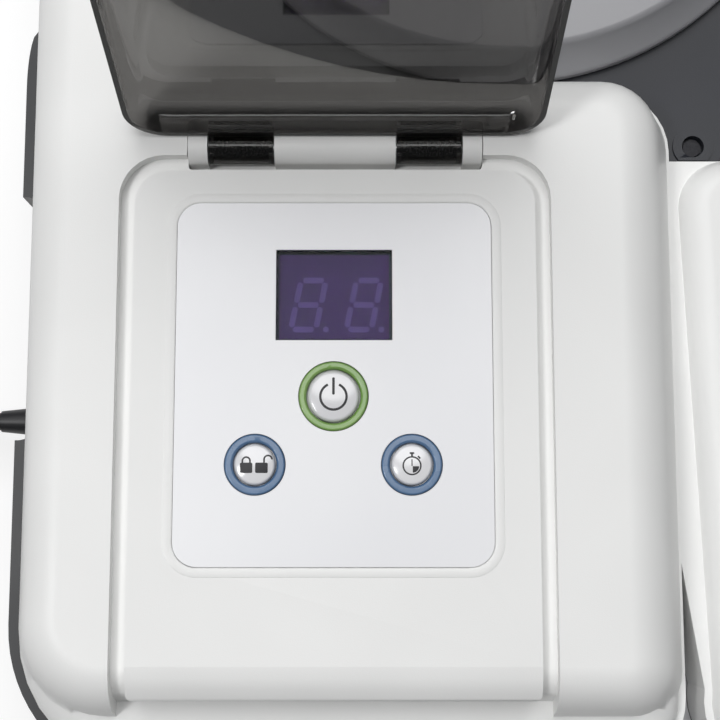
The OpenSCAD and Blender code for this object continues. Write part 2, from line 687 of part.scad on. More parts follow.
module flip_cover() color("#4a4846", 0.55)
    translate([0, hinge_y, hinge_z]) rotate([-90 - cover_lean, 0, 0]) translate([0, -hinge_y, -hinge_z])
        resize([cover_w, 0, 0]) cover_closed();

module sweep(pts, r, sides) {
    n = len(pts);
    dirs = [for (i = [0:n - 1]) let (d = pts[min(i + 1, n - 1)] - pts[max(i - 1, 0)]) d / norm(d)];
    polyhedron(
        points = [for (i = [0:n - 1])
            let (side = cross(dirs[i], abs(dirs[i][2]) > 0.9 ? [1, 0, 0] : [0, 0, 1]), u = side / norm(side),
                v = cross(u, dirs[i]))
            for (k = [0:sides - 1]) pts[i] + r * (cos(360 * k / sides) * u + sin(360 * k / sides) * v)],
        faces = concat([[for (k = [sides - 1:-1:0]) k]],
            [for (i = [0:n - 2]) for (k = [0:sides - 1]) let (m = (k + 1) % sides)
                [i * sides + k, i * sides + m, (i + 1) * sides + m, (i + 1) * sides + k]],
            [[for (k = [0:sides - 1]) (n - 1) * sides + k]]));
}

module hinge_springs() color("silver") for (s = [-1, 1])
    translate([console_x + s * knuckle_x, hinge_y, hinge_z])
        sweep([for (i = [0:72]) [-8 + 16 * i / 72, 2.4 * sin(i * 36), 2.4 * cos(i * 36)]], 0.5, 5);

// ---- Fan and heater ----
module blower_housing() color("#2a2b2e") difference() {
    translate([blower_c[0], blower_c[1], 0]) {
        translate([0, 0, blower_z]) linear_extrude(blower_h) rrect(blower_w, blower_w, 12);
        for (x = [-1, 1], y = [-1, 1]) translate([x * (blower_w / 2 - 8), y * (blower_w / 2 - 8), floor_z])
            cylinder(r = 5, h = blower_z - floor_z + eps);
    }
    // scroll
    translate([blower_c[0], blower_c[1], blower_z + 2]) linear_extrude(blower_h - 4) {
        circle(r = impeller_r + 6);
        translate([duct_x - blower_c[0] - duct_w / 2, 0]) square([duct_w, blower_w / 2 - 12]);
    }
    translate([duct_x - duct_w / 2, blower_c[1] + 20, duct_z - duct_h / 2]) cube([duct_w, blower_w, duct_h]);
    translate([blower_c[0], blower_c[1], blower_z - 1]) cylinder(r = impeller_r - 6, h = 4);
    translate([blower_c[0], blower_c[1], 20]) cylinder(r = 6, h = blower_h);
}

module blower_motor() color("#9a9da0") translate([blower_c[0], blower_c[1], 0]) {
    translate([0, 0, blower_z + blower_h - 2.2 - 8]) cylinder(r = 13, h = 8);
    translate([0, 0, blower_z + blower_h - 2.3]) cylinder(r = 5.8, h = 2.3 + 2);
    translate([0, 0, blower_z + 8]) cylinder(r = 2, h = blower_h - 16);
}

module blower_impeller() color("#3b3d42") translate([blower_c[0], blower_c[1], blower_z + 5]) difference() {
    union() {
        cylinder(r = 18, h = 2);
        cylinder(r = 5, h = 9);
        for (z = [0, 19]) translate([0, 0, z]) tube(impeller_r, impeller_r - 7 + z * 0.1, 1.6);
        for (i = [0:blades - 1]) rotate([0, 0, i * 360 / blades]) translate([impeller_r - 7.2, 0, 0])
            rotate([0, 0, 25]) cube([7, 1, 20]);
        for (a = [0:60:300]) rotate([0, 0, a]) translate([15, -2, 0]) cube([impeller_r - 20, 4, 1.6]);
    }
    translate([0, 0, -1]) cylinder(r = 2 + run_fit, h = 30);
}

module heater_duct() color("#b9bcbf") difference() {
    translate([duct_x, blower_c[1] + blower_w / 2 + seat, duct_z]) rotate([-90, 0, 0])
        linear_extrude(70) difference() {
            rrect(duct_w + 3.2, duct_h + 3.2, 3);
            rrect(duct_w, duct_h, 0.4);
        }
    translate([0, chamber_y, 0]) cylinder(r = bowl_out + 5.4, h = 100, $fn = 96);
}

module ptc_heater() color("#c9a66a") translate([duct_x, blower_c[1] + blower_w / 2 + 8, duct_z]) difference() {
    translate([-duct_w / 2 + 0.3, 0, -duct_h / 2 + 0.3]) cube([duct_w - 0.6, 16, duct_h - 0.6]);
    for (i = [-6:6]) translate([i * 4.1, -1, -duct_h / 2 + 2.5])
        cube([2.6, 18, duct_h / 2 - 4]);
    for (i = [-6:6]) translate([i * 4.1, -1, 1.5]) cube([2.6, 18, duct_h / 2 - 4]);
}

module thermal_cutout() color("#d8d8d4") translate([duct_x, blower_c[1] + blower_w / 2 + 16,
    duct_z + duct_h / 2 + 1.6 + seat]) {
    cylinder(r = 7, h = 5);
    for (x = [-4, 4]) translate([x - 1.5, -0.4, 5]) cube([3, 0.8, 6]);
}

module humidity_sensor() color("#2f5fa8") translate([0, chamber_y, bowl_z + 34]) rotate([0, 0, 200]) {
    translate([bowl_r - 2.1, -8, 0]) cube([1.6, 16, 14]);
    translate([bowl_r - 3.3, -2.5, 5]) cube([1.2 + eps, 5, 5]);
}

mains_c = [-62, -190];              // centre of the power board

module power_board() color("#7a5a2e") translate([mains_c[0], mains_c[1], floor_z + 6]) {
    linear_extrude(1.6) rrect(110, 72, 2);
    for (x = [-50, 50], y = [-31, 31]) translate([x, y, -6]) cylinder(r = 3, h = 6 + eps);
    translate([-42, -20, 1.6 - eps]) cube([32, 30, 24]);
    translate([0, -18, 1.6 - eps]) cylinder(r = 9, h = 22);
    translate([18, 8, 1.6 - eps]) cube([19, 15, 15]);
    translate([16, -24, 1.6 - eps]) cube([30, 4, 20]);
    for (y = [14, 24]) translate([-30, y, 1.6 - eps]) cylinder(r = 4, h = 12);
}

// ---- Mains lead ----
cord_r = cord_d / 2;
relief_x = -body_w / 2 - 11;
coil_c = [-262, cord_y - 42];
coil_turn = 38.5;
cord_route = [
    [-195, -126.6, 24], [-204, -126.6, 23.1], [-213, -126.6, 20.4], [-222, -126.6, 16.2],
    [-231, -126.6, 11.4], [-240, -126.6, 7.2], [-249, -126.6, 4.4], [-256, -126.6, 3.6],
    [-262, -126.6, 3.5]];
tail_route = [
    [-262, -133.6, 24.5], [-265.5, -133.6, 24.5], [-269, -133.6, 24.6], [-273.9, -134, 24.8],
    [-278.7, -135.3, 25.1], [-283.3, -137.4, 25.5], [-287.3, -140.3, 26], [-290.8, -143.8, 26.6],
    [-293.7, -147.9, 27.1], [-295.8, -152.4, 27.5], [-297.1, -157.2, 27.8], [-297.5, -162.1, 28]];
plug_c = [-297.5, -162.1, 28];

module strain_relief() color("#26262a") translate([relief_x, cord_y, cord_z]) rotate([0, 90, 0]) {
    cylinder(r1 = cord_r + 0.7, r2 = 6.2, h = 19.6);
    translate([0, 0, 19.5]) cylinder(r = 5.4, h = 4.2);
    translate([0, 0, 23.6]) cylinder(r = 7, h = 2);
}

module power_cord() color("#26262a") {
    sweep(cord_route, cord_r, 10);
    sweep(tail_route, cord_r, 10);
}

module cord_coil() color("#26262a") translate([coil_c[0], coil_c[1], 0]) rotate_extrude($fn = 96)
    translate([coil_turn, 3 * cord_r]) square([4 * cord_r, 6 * cord_r], center = true);

module plug_body() color("#26262a") translate(plug_c) rotate([90, 0, 0]) {
    cylinder(r1 = cord_r + 0.6, r2 = 6, h = 18);
    translate([0, 0, 17.9]) linear_extrude(34) rrect(27, 14, 6.9);
}

module plug_pins() color("silver") for (x = [-9.3, 9.3])
    translate(plug_c + [x, -51.9, 0]) rotate([90, 0, 0]) cylinder(r = 2, h = 19);

base_tray();
rubber_feet();
base_screws();
upper_housing();
deck_plate();
deck_screws();
outlet_block();
outlet_fitting();
guide_tube();
panel_plate();
display_window();
display_module();
control_board();
tact_switches();
power_button();
power_ring();
lock_button();
lock_ring();
timer_button();
timer_ring();
flip_cover();
hinge_mount();
hinge_pin();
hinge_springs();
chamber_bowl();
bowl_jacket();
chamber_lid();
lid_seal();
lid_bracket();
lid_pin();
turntable();
spool_hub();
table_bearing();
spindle();
blower_housing();
blower_motor();
blower_impeller();
heater_duct();
ptc_heater();
thermal_cutout();
humidity_sensor();
power_board();
strain_relief();
power_cord();
cord_coil();
plug_body();
plug_pins();
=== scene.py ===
"""Finishes and small parts of a filament dryer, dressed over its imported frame. Metres throughout."""
import json
import math

import bpy
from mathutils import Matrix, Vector


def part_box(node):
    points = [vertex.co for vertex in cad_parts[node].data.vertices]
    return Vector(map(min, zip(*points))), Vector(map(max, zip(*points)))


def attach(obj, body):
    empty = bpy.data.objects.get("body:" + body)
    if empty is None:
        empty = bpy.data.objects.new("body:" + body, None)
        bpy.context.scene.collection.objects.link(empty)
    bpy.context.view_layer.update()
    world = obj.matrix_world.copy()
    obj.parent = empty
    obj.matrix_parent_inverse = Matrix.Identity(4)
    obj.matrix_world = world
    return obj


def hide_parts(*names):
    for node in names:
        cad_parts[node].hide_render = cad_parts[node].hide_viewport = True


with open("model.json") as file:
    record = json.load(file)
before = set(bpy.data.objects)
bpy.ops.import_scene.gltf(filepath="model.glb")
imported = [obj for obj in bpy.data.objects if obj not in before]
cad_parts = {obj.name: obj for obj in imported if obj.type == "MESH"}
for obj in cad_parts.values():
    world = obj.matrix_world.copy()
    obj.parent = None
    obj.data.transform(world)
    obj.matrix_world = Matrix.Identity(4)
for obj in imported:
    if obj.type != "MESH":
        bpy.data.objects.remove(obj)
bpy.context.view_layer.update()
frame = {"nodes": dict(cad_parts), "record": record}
MM = 0.001
MERGE_GAP = 0.00001               # corners nearer than this are one corner
FLAT_ANGLE = math.radians(0.5)    # faces that meet at less than this are one face
body_of_node = {n: b for b, ns in frame["record"]["behaviour"]["bodies"].items() for n in ns}


# ---- Camera ----
bpy.ops.object.select_all(action="DESELECT")
camera_place = (-0.0525, -0.17995, 0.580125)
camera_tilt = math.radians(8)      # from straight down
bpy.ops.object.camera_add(location=camera_place, rotation=(camera_tilt, 0, 0))
camera = bpy.context.active_object
camera.data.lens = 70
camera.data.sensor_width = 36
bpy.context.scene.camera = camera
bpy.context.scene.view_settings.view_transform = "Standard"


# ---- Workshop helpers ----
def lay_down():
    """Leaves edit mode with nothing selected."""
    if bpy.context.mode != "OBJECT":
        bpy.ops.object.mode_set(mode="OBJECT")
    bpy.ops.object.select_all(action="DESELECT")


def pick(*pieces):
    """Selects the pieces; the last one is the active one."""
    lay_down()
    for piece in pieces:
        piece.select_set(True)
    bpy.context.view_layer.objects.active = pieces[-1]


def choose(piece, test, kind="FACE"):
    """Selects the piece's faces, edges or corners that pass the test and opens it for editing."""
    pick(piece)
    bpy.ops.object.mode_set(mode="EDIT")
    bpy.ops.mesh.select_mode(type=kind)
    bpy.ops.mesh.select_all(action="DESELECT")
    bpy.ops.object.mode_set(mode="OBJECT")
    mesh = piece.data
    parts = {"FACE": mesh.polygons, "EDGE": mesh.edges, "VERT": mesh.vertices}[kind]
    for part in parts:
        part.select = bool(test(part))
    bpy.ops.object.mode_set(mode="EDIT")


def close_edit():
    """Ends the editing that choose began."""
    bpy.ops.object.mode_set(mode="OBJECT")


def fit(piece, kind, **settings):
    """Adds a modifier and applies it."""
    pick(piece)
    step = piece.modifiers.new(kind.lower(), kind)
    for key, value in settings.items():
        setattr(step, key, value)
    bpy.ops.object.modifier_apply(modifier=step.name)
    return piece


def soften(piece, degrees=30):
    """Shades the piece smooth, apart from edges sharper than the angle."""
    pick(piece)
    bpy.ops.object.shade_smooth_by_angle(angle=math.radians(degrees), keep_sharp_edges=False)


def join(*pieces):
    """Joins the pieces into the first one."""
    pick(*pieces[1:], pieces[0])
    bpy.ops.object.join()
    return pieces[0]


def apply_place(piece):
    """Puts the piece's place, turn and size into its mesh."""
    pick(piece)
    bpy.ops.object.transform_apply(location=True, rotation=True, scale=True)


def settle(piece, name, body, finish, *nodes, slot=None):
    """Names a piece, puts its place in its mesh, gives it its finish and hangs it on its body."""
    apply_place(piece)
    piece.name = name
    piece.data.name = name
    piece.data.materials.clear()
    piece.data.materials.append(finish)
    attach(piece, body)
    if nodes:
        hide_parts(*nodes)
    return piece


def moulding(node, name, finish, degrees=30, shape=None):
    """The node's own form, seams merged, reshaped where a shape is given, and its curves smoothed."""
    source = frame["nodes"][node]
    lay_down()
    piece = source.copy()
    piece.data = source.data.copy()
    for key in list(piece.keys()):
        if key.startswith("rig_"):
            del piece[key]
    piece.parent = None
    bpy.context.scene.collection.objects.link(piece)
    choose(piece, lambda v: True, "VERT")
    bpy.ops.mesh.remove_doubles(threshold=MERGE_GAP)
    bpy.ops.mesh.dissolve_limited(angle_limit=FLAT_ANGLE)
    close_edit()
    if shape:
        shape(piece)
    soften(piece, degrees)
    fit(piece, "WEIGHTED_NORMAL", mode="FACE_AREA", weight=100, keep_sharp=True)
    return settle(piece, name, body_of_node[node], finish, node)


# ---- Finishes ----
NOISE_RANGE = 0.3, 0.7       # where a noise's values lie
TONE_STOPS = 0.35, 0.65      # where a drift turns from its dark to its light tone
COAT_ROUGHNESS = 0.12
BRUSH_DEPTH = 0.00001


def finish(name):
    """A new material with its shader and the coordinates of its piece."""
    material = bpy.data.materials.new(name)
    material.use_nodes = True
    tree = material.node_tree
    shader = tree.nodes["Principled BSDF"]
    coords = tree.nodes.new("ShaderNodeTexCoord")
    return material, tree, shader, coords.outputs["Object"]


def grain(tree, coords, scale, detail=3.0, rough=0.55, stretch=(1, 1, 1)):
    """A noise at a scale in turns a metre."""
    turn = tree.nodes.new("ShaderNodeMapping")
    turn.inputs["Scale"].default_value = stretch
    noise = tree.nodes.new("ShaderNodeTexNoise")
    noise.inputs["Scale"].default_value = scale
    noise.inputs["Detail"].default_value = detail
    noise.inputs["Roughness"].default_value = rough
    tree.links.new(coords, turn.inputs["Vector"])
    tree.links.new(turn.outputs["Vector"], noise.inputs["Vector"])
    return noise.outputs["Fac"]


def spread(tree, value, low, high):
    """Spreads a noise over a range of numbers."""
    remap = tree.nodes.new("ShaderNodeMapRange")
    remap.inputs["From Min"].default_value = NOISE_RANGE[0]
    remap.inputs["From Max"].default_value = NOISE_RANGE[1]
    remap.inputs["To Min"].default_value = low
    remap.inputs["To Max"].default_value = high
    tree.links.new(value, remap.inputs["Value"])
    return remap.outputs["Result"]


def tones(tree, value, dark, light):
    """Lets a noise drift between two colours."""
    ramp = tree.nodes.new("ShaderNodeValToRGB")
    for stop, position, colour in zip(ramp.color_ramp.elements, TONE_STOPS, (dark, light)):
        stop.position = position
        stop.color = (*colour, 1)
    tree.links.new(value, ramp.inputs["Fac"])
    return ramp.outputs["Color"]


def relief(tree, value, depth, shader):
    """Gives the shader a fine texture of a depth in metres."""
    bump = tree.nodes.new("ShaderNodeBump")
    bump.inputs["Strength"].default_value = 1.0
    bump.inputs["Distance"].default_value = depth
    tree.links.new(value, bump.inputs["Height"])
    tree.links.new(bump.outputs["Normal"], shader.inputs["Normal"])


def plastic(name, dark, light, gloss=(0.4, 0.5), texture=2600, depth=0.00002, patches=14,
            coat=0.0):
    """Moulded plastic: a fine texture, slow drifts of tone and gloss."""
    material, tree, shader, coords = finish(name)
    drift = grain(tree, coords, patches, 2.0)
    tree.links.new(tones(tree, drift, dark, light), shader.inputs["Base Color"])
    tree.links.new(spread(tree, drift, *gloss), shader.inputs["Roughness"])
    relief(tree, grain(tree, coords, texture, 2.0), depth, shader)
    shader.inputs["Coat Weight"].default_value = coat
    shader.inputs["Coat Roughness"].default_value = COAT_ROUGHNESS
    return material


def metal(name, dark, light, gloss, stretch=(1, 1, 1), texture=900):
    """Bare metal, brushed along the axis that is stretched least."""
    material, tree, shader, coords = finish(name)
    brushed = grain(tree, coords, texture, 4.0, 0.6, stretch)
    tree.links.new(tones(tree, brushed, dark, light), shader.inputs["Base Color"])
    tree.links.new(spread(tree, brushed, *gloss), shader.inputs["Roughness"])
    relief(tree, brushed, BRUSH_DEPTH, shader)
    shader.inputs["Metallic"].default_value = 1.0
    return material


# each row: name, dark and light tone, range of gloss, texture's scale and depth, drift's scale, coat
white_shell = plastic("white shell", (0.85, 0.85, 0.84), (0.89, 0.89, 0.88), (0.38, 0.48),
                      2400, 0.00003)
lid_shell = plastic("lid shell", (0.38, 0.38, 0.4), (0.42, 0.42, 0.44), (0.3, 0.4), 1500, 0.00001)
black_shell = plastic("black tray", (0.012, 0.013, 0.015), (0.02, 0.021, 0.024), (0.35, 0.5),
                      2200, 0.00003)
deck_shell = plastic("navy deck", (0.012, 0.014, 0.02), (0.02, 0.022, 0.03), (0.42, 0.55),
                     1800, 0.00004)
inner_black = plastic("inner black", (0.018, 0.019, 0.022), (0.028, 0.029, 0.033), (0.45, 0.6),
                      1500, 0.00003)
cap_white = plastic("button white", (0.78, 0.78, 0.80), (0.83, 0.83, 0.85), (0.12, 0.2),
                    900, 0.000004, 30, 0.6)
ring_green = plastic("green ring", (0.19, 0.36, 0.085), (0.26, 0.43, 0.13), (0.22, 0.32),
                     1200, 0.000006, 60, 0.4)
ring_blue = plastic("blue ring", (0.075, 0.155, 0.29), (0.11, 0.2, 0.35), (0.22, 0.32),
                    1200, 0.000006, 60, 0.4)
print_dark = plastic("dark print", (0.02, 0.02, 0.023), (0.035, 0.035, 0.04), (0.5, 0.6),
                     2500, 0.000003)
segment_lilac = plastic("unlit segment", (0.36, 0.32, 0.52), (0.42, 0.38, 0.6), (0.5, 0.6),
                        2500, 0.000003)
display_face = plastic("display face", (0.085, 0.05, 0.17), (0.12, 0.065, 0.21), (0.4, 0.5),
                       1500, 0.000005, 60)
# Mid grey for the outlet block: painted shade, standing for the white housing in shade in the wedge
# between console and apron.
shade_grey_block = plastic("white in painted shade", (0.6, 0.6, 0.62), (0.68, 0.68, 0.7), (0.4, 0.5), 1800, 0.00002)
rubber = plastic("foot rubber", (0.02, 0.02, 0.021), (0.03, 0.03, 0.031), (0.6, 0.75),
                 1600, 0.00004)
jacket = plastic("lead jacket", (0.014, 0.014, 0.016), (0.024, 0.024, 0.027), (0.42, 0.55),
                 1400, 0.00003)
seal = plastic("silicone seal", (0.55, 0.54, 0.5), (0.62, 0.61, 0.57), (0.4, 0.5), 1200, 0.00002)
clear_tube = plastic("guide tube", (0.8, 0.8, 0.76), (0.88, 0.88, 0.85), (0.25, 0.35),
                     900, 0.00001)
board_green = plastic("solder mask", (0.01, 0.10, 0.035), (0.016, 0.15, 0.05), (0.25, 0.4),
                      500, 0.00002)
board_tan = plastic("board laminate", (0.17, 0.1, 0.035), (0.24, 0.15, 0.06), (0.35, 0.5),
                    500, 0.00002)
sensor_blue = plastic("sensor board", (0.02, 0.08, 0.3), (0.03, 0.12, 0.4), (0.3, 0.4),
                      700, 0.00002)
felt = plastic("insulation felt", (0.2, 0.2, 0.19), (0.34, 0.34, 0.32), (0.85, 0.95), 700, 0.0004)
# each row: name, dark and light tone, range of gloss, stretch and scale of the brushing
steel = metal("bright steel", (0.5, 0.51, 0.53), (0.68, 0.69, 0.71), (0.2, 0.32))
sheet = metal("drawn sheet", (0.6, 0.61, 0.62), (0.74, 0.75, 0.76), (0.28, 0.42), (1, 1, 12), 120)
# Near black steel for the deck screws: painted shade, standing for the shade down in their holes in
# the deck.
dark_steel_painted_shade = metal("dark steel in painted shade", (0.02, 0.02, 0.022), (0.035, 0.035, 0.038), (0.4, 0.5))
brass = metal("turned brass", (0.66, 0.44, 0.16), (0.8, 0.57, 0.24), (0.2, 0.3), (1, 12, 1), 200)
fins = metal("heater fins", (0.45, 0.36, 0.22), (0.6, 0.48, 0.3), (0.3, 0.5), (1, 1, 6), 300)


def silver_plate():
    """Silver lacquer with a cool tint and fine flakes."""
    material, tree, shader, coords = finish("silver lacquer")
    flake = grain(tree, coords, 3200, 2.0)
    drift = grain(tree, coords, 9, 2.0)
    dark, light = (0.82, 0.822, 0.845), (0.86, 0.862, 0.88)
    tree.links.new(tones(tree, drift, dark, light), shader.inputs["Base Color"])
    tree.links.new(spread(tree, flake, 0.3, 0.46), shader.inputs["Roughness"])
    relief(tree, flake, BRUSH_DEPTH, shader)
    shader.inputs["Metallic"].default_value = 0.06
    shader.inputs["Coat Weight"].default_value = 0.25
    shader.inputs["Coat Roughness"].default_value = 0.25
    return material


def see_through(name, tint, rough, index):
    """Clear tinted plastic with a slow drift of gloss."""
    haze_scale = 8
    material, tree, shader, coords = finish(name)
    shader.inputs["Base Color"].default_value = (*tint, 1)
    shader.inputs["Transmission Weight"].default_value = 1.0
    shader.inputs["IOR"].default_value = index
    tree.links.new(spread(tree, grain(tree, coords, haze_scale), *rough), shader.inputs["Roughness"])
    return material


lacquer = silver_plate()
smoked = see_through("smoked clear", (0.17, 0.165, 0.16), (0.02, 0.06), 1.45)
violet = see_through("violet filter", (0.5, 0.42, 0.66), (0.04, 0.08), 1.18)


# ---- Mains lead ----
# millimetres; the first point is where the lead leaves the tray
lead_in = [(-195, -126.6, 24), (-204, -126.6, 23.1), (-213, -126.6, 20.4), (-222, -126.6, 16.2),
           (-231, -126.6, 11.4), (-240, -126.6, 7.2), (-249, -126.6, 4.4), (-256, -126.6, 3.6),
           (-262, -126.6, 3.5)]
lead_out = [(-262, -133.6, 24.5), (-265.5, -133.6, 24.5), (-269, -133.6, 24.6),
            (-273.9, -134, 24.8), (-278.7, -135.3, 25.1), (-283.3, -137.4, 25.5),
            (-287.3, -140.3, 26), (-290.8, -143.8, 26.6), (-293.7, -147.9, 27.1),
            (-295.8, -152.4, 27.5), (-297.1, -157.2, 27.8), (-297.5, -162.1, 28)]
coil_middle = (-262, -168.6)
lead_radius = 3.5 * MM
# each turn's [radius, height], and the place that the lead steps to at its end
rows = [(42, 3.5), (35, 3.5), (35, 10.5), (42, 10.5), (42, 17.5), (35, 17.5), (35, 24.5)]


def lead_points():
    """The lead's middle line: down to the floor, round the coil and up to the plug."""
    points = list(lead_in)
    steps = 40                              # points a turn
    sooner, sooner_a_turn = 0.45, 0.07      # the upper turns step first, the lower ones after them
    latest, stepping = 0.98, 0.24           # shares of a turn
    for turn, (here, there) in enumerate(zip(rows, rows[1:])):
        begin = latest - (sooner + sooner_a_turn * turn)
        for k in range(1 if turn == 0 else 0, steps):
            part = k / steps
            move = min(1.0, max(0.0, (part - begin) / stepping))
            move = move * move * (3 - 2 * move)      # a soft start and end
            radius = here[0] + (there[0] - here[0]) * move
            height = here[1] + (there[1] - here[1]) * move
            angle = math.radians(90 + 360 * part)
            points.append((coil_middle[0] + radius * math.cos(angle),
                           coil_middle[1] + radius * math.sin(angle), height))
    return points + lead_out


route = lead_points()
lay_down()
bpy.ops.curve.primitive_nurbs_path_add(location=(0, 0, 0))
lead = bpy.context.active_object
lead.data.splines.clear()
line = lead.data.splines.new("POLY")
line.points.add(len(route) - 1)
for point, place in zip(line.points, route):
    point.co = (*[c * MM for c in place], 1)
lead.data.dimensions = "3D"
lead.data.bevel_depth = lead_radius
lead.data.bevel_resolution = 4
lead.data.use_fill_caps = True
lead.name = "mains_lead"
lead.data.materials.append(jacket)
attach(lead, "root")
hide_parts("power_cord", "cord_coil")

relief_boot = moulding("strain_relief", "lead_boot", jacket)
plug = moulding("plug_body", "lead_plug", jacket)
pins = moulding("plug_pins", "lead_pins", steel)


# ---- Mouldings that keep the frame's own form ----
def take_in_side(piece):
    """Takes the tray's left side in under the console's wall behind the recess, with rounded ends."""
    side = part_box("base_tray")[0][0] + 0.3 * MM      # what lies left of this is the side
    deep, front, back, run = 4.3 * MM, 4 * MM, 224 * MM, 23 * MM
    same_place = 0.05 * MM
    steps = 8
    stops = []
    for step in range(steps + 1):
        share = step / steps
        depth = deep * (1 - math.sqrt(max(0.0, 1 - share * share)))
        stops += [(front + run * share, depth), (back - run * share, depth)]

    def on_side(v):
        return v.co.x < side

    for y, _ in stops:
        choose(piece, lambda f: f.center.x < side)
        bpy.ops.mesh.bisect(plane_co=(0, y, 0), plane_no=(0, 1, 0))
        close_edit()
    for y, depth in stops:
        if depth:
            choose(piece, lambda v: on_side(v) and abs(v.co.y - y) < same_place, "VERT")
            bpy.ops.transform.translate(value=(depth, 0, 0))
            close_edit()
    choose(piece, lambda v: on_side(v) and front + run < v.co.y < back - run, "VERT")
    bpy.ops.transform.translate(value=(deep, 0, 0))
    close_edit()


# node: name of its piece, finish, and the sharpest edge, in degrees, that is shaded smooth
finishes = {
    "base_tray": ("tray", black_shell, 30), "upper_housing": ("housing", white_shell, 24),
    "deck_plate": ("deck", deck_shell, 30), "chamber_lid": ("lid", lid_shell, 25),
    "flip_cover": ("smoked_cover", smoked, 24), "power_button": ("power_cap", cap_white, 25),
    "lock_button": ("lock_cap", cap_white, 25), "timer_button": ("timer_cap", cap_white, 25),
    "power_ring": ("power_halo", ring_green, 50), "lock_ring": ("lock_halo", ring_blue, 50),
    "timer_ring": ("timer_halo", ring_blue, 50), "hinge_mount": ("hinge_barrel", white_shell, 30),
    "hinge_pin": ("hinge_rod", steel, 30), "panel_plate": ("panel", lacquer, 30),
    "chamber_bowl": ("bowl", sheet, 30), "turntable": ("table", inner_black, 30),
    "spool_hub": ("hub", inner_black, 30), "lid_bracket": ("lid_hinge_block", white_shell, 30),
    # the outlet block takes the mid grey of painted shade
    "lid_pin": ("lid_rod", steel, 30), "outlet_block": ("outlet", shade_grey_block, 30),
    "outlet_fitting": ("outlet_nut", brass, 30), "blower_impeller": ("fan_wheel", inner_black, 30),
}
made = {}
for node, (name, material, degrees) in finishes.items():
    shape = take_in_side if node == "base_tray" else None
    made[node] = moulding(node, name, material, degrees, shape)

# pieces that only get a finish
plain = {
    # the deck screws take near black steel as painted shade of their holes
    "rubber_feet": rubber, "base_screws": steel, "deck_screws": dark_steel_painted_shade, "guide_tube": clear_tube,
    "display_window": violet, "display_module": display_face, "control_board": board_green,
    "tact_switches": inner_black, "hinge_springs": steel, "bowl_jacket": felt, "lid_seal": seal,
    "table_bearing": steel, "spindle": steel, "blower_housing": inner_black, "blower_motor": sheet,
    "heater_duct": sheet, "ptc_heater": fins, "thermal_cutout": seal, "humidity_sensor": sensor_blue,
    "power_board": board_tan,
}
for node, material in plain.items():
    slots = frame["nodes"][node].data.materials
    slots.clear()
    slots.append(material)


# ---- Raised frame round the panel ----
def panel_frame():
    """A low band that stands round the panel on the console's top."""
    low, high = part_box("panel_plate")
    gap, wide, tall, round_off = 0.5 * MM, 2.9 * MM, 0.24 * MM, 0.08 * MM
    sunk = 0.02 * MM
    plate_corner = 8 * MM
    corner = plate_corner + gap + wide
    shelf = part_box("upper_housing")[1][2]
    lay_down()
    bpy.ops.mesh.primitive_plane_add(size=1)
    piece = bpy.context.active_object
    piece.scale = (high[0] - low[0] + 2 * (gap + wide), high[1] - low[1] + 2 * (gap + wide), 1)
    piece.location = ((low[0] + high[0]) / 2, (low[1] + high[1]) / 2, shelf - sunk)
    apply_place(piece)
    choose(piece, lambda v: True, "VERT")
    bpy.ops.mesh.bevel(offset=corner, segments=12, affect="VERTICES")
    close_edit()
    choose(piece, lambda f: True)
    bpy.ops.mesh.inset(thickness=wide)
    bpy.ops.mesh.delete(type="FACE")
    close_edit()
    choose(piece, lambda f: True)
    bpy.ops.mesh.extrude_region_move(TRANSFORM_OT_translate={"value": (0, 0, tall)})
    bpy.ops.mesh.select_all(action="SELECT")
    bpy.ops.mesh.normals_make_consistent(inside=False)
    close_edit()
    fit(piece, "BEVEL", width=round_off, segments=2, limit_method="ANGLE",
        angle_limit=math.radians(50))
    soften(piece, 35)
    return settle(piece, "panel_frame", "root", white_shell, slot="white_shell")


panel_frame()


# ---- Display ----
BAR_TALL = 0.15 * MM
module_low, module_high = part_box("display_module")
module_middle = (module_low + module_high) / 2
digit_z = module_high[2] + 0.02 * MM            # just over the display module
digit_y = module_middle[1] - 2.8 * MM
digit_offsets = (-8.7 * MM, 10 * MM)            # across, from the module's middle


def bar(long, wide, place, turn):
    """A flat bar with pointed ends, like one bar of a digit."""
    lay_down()
    tip = wide / math.sqrt(3)
    bpy.ops.mesh.primitive_circle_add(vertices=6, radius=tip, fill_type="NGON",
                                      rotation=(0, 0, math.pi / 6))
    piece = bpy.context.active_object
    apply_place(piece)
    for side in (-1, 1):
        choose(piece, lambda v: v.co.x * side > 0, "VERT")
        bpy.ops.transform.translate(value=(side * (long / 2 - tip), 0, 0))
        close_edit()
    choose(piece, lambda f: True)
    bpy.ops.mesh.extrude_region_move(TRANSFORM_OT_translate={"value": (0, 0, BAR_TALL)})
    close_edit()
    piece.location = place
    piece.rotation_euler = (0, 0, turn)
    apply_place(piece)
    return piece


